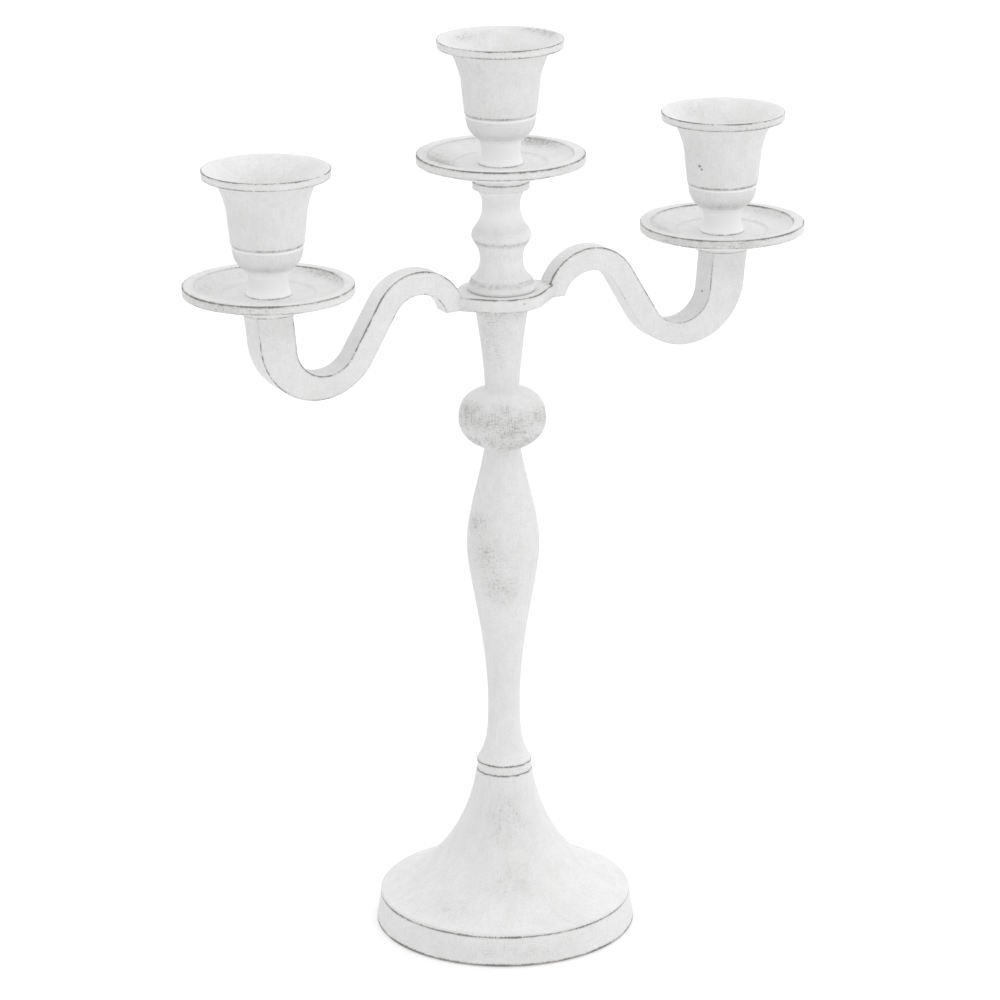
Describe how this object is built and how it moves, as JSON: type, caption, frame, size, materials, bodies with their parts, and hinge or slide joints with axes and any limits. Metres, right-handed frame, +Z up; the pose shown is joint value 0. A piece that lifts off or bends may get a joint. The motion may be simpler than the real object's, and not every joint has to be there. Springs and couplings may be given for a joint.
{
  "type": "candelabrum",
  "caption": "Turned column on a flared foot with two S-shaped arms; drip pans carry bell-shaped cups for household candles, in worn white paint.",
  "frame": {"origin": "on the floor, on the column's axis", "axes": "+Z up, arms along X, -Y towards the viewer of the front"},
  "size_m": [0.2914, 0.115, 0.4],
  "materials": {
    "distressed_white_paint": "matt white paint, worn through at the edges",
    "plated_steel": "zinc plated",
    "grey_felt": "wool felt"
  },
  "bodies": {
    "column": {"felt_ring": "grey_felt", "foot": "distressed_white_paint", "collar": "distressed_white_paint", "lower_stem": "distressed_white_paint", "ball_knop": "distressed_white_paint", "upper_stem": "distressed_white_paint", "centre_post": "distressed_white_paint", "tie_rod": "plated_steel", "base_washer": "plated_steel", "base_nut": "plated_steel", "drip_pan_centre": "distressed_white_paint", "cup_stud_centre": "plated_steel"},
    "arms": {"arm_casting": "distressed_white_paint", "drip_pan_left": "distressed_white_paint", "drip_pan_right": "distressed_white_paint", "cup_stud_left": "plated_steel", "cup_stud_right": "plated_steel"},
    "washer_left": {"cup_washer_left": "plated_steel"},
    "washer_centre": {"cup_washer_centre": "plated_steel"},
    "washer_right": {"cup_washer_right": "plated_steel"},
    "cup_left": {"candle_cup_left": "distressed_white_paint"},
    "cup_centre": {"candle_cup_centre": "distressed_white_paint"},
    "cup_right": {"candle_cup_right": "distressed_white_paint"}
  },
  "joints": [
    {"name": "arm_swivel", "type": "hinge", "parent": "column", "child": "arms", "pos_m": [0, 0, 0.288], "axis": [0, 0, 1], "continuous": true},
    {"name": "left_cup_rise", "type": "slide", "parent": "arms", "child": "washer_left", "axis": [0, 0, 1], "range_m": [0, 0.00801]},
    {"name": "left_cup_turn", "type": "hinge", "parent": "washer_left", "child": "cup_left", "pos_m": [-0.1096, 0, 0.3032], "axis": [0, 0, 1], "range_deg": [0, 3600]},
    {"name": "centre_cup_rise", "type": "slide", "parent": "column", "child": "washer_centre", "axis": [0, 0, 1], "range_m": [0, 0.00801]},
    {"name": "centre_cup_turn", "type": "hinge", "parent": "washer_centre", "child": "cup_centre", "pos_m": [0, 0, 0.3463], "axis": [0, 0, 1], "range_deg": [0, 3600]},
    {"name": "right_cup_rise", "type": "slide", "parent": "arms", "child": "washer_right", "axis": [0, 0, 1], "range_m": [0, 0.00801]},
    {"name": "right_cup_turn", "type": "hinge", "parent": "washer_right", "child": "cup_right", "pos_m": [0.1096, 0, 0.3032], "axis": [0, 0, 1], "range_deg": [0, 3600]}
  ],
  "couplings": [
    {"joint": "left_cup_rise", "follows": "left_cup_turn", "m_per_rad": 0.00012732},
    {"joint": "centre_cup_rise", "follows": "centre_cup_turn", "m_per_rad": 0.00012732},
    {"joint": "right_cup_rise", "follows": "right_cup_turn", "m_per_rad": 0.00012732}
  ]
}
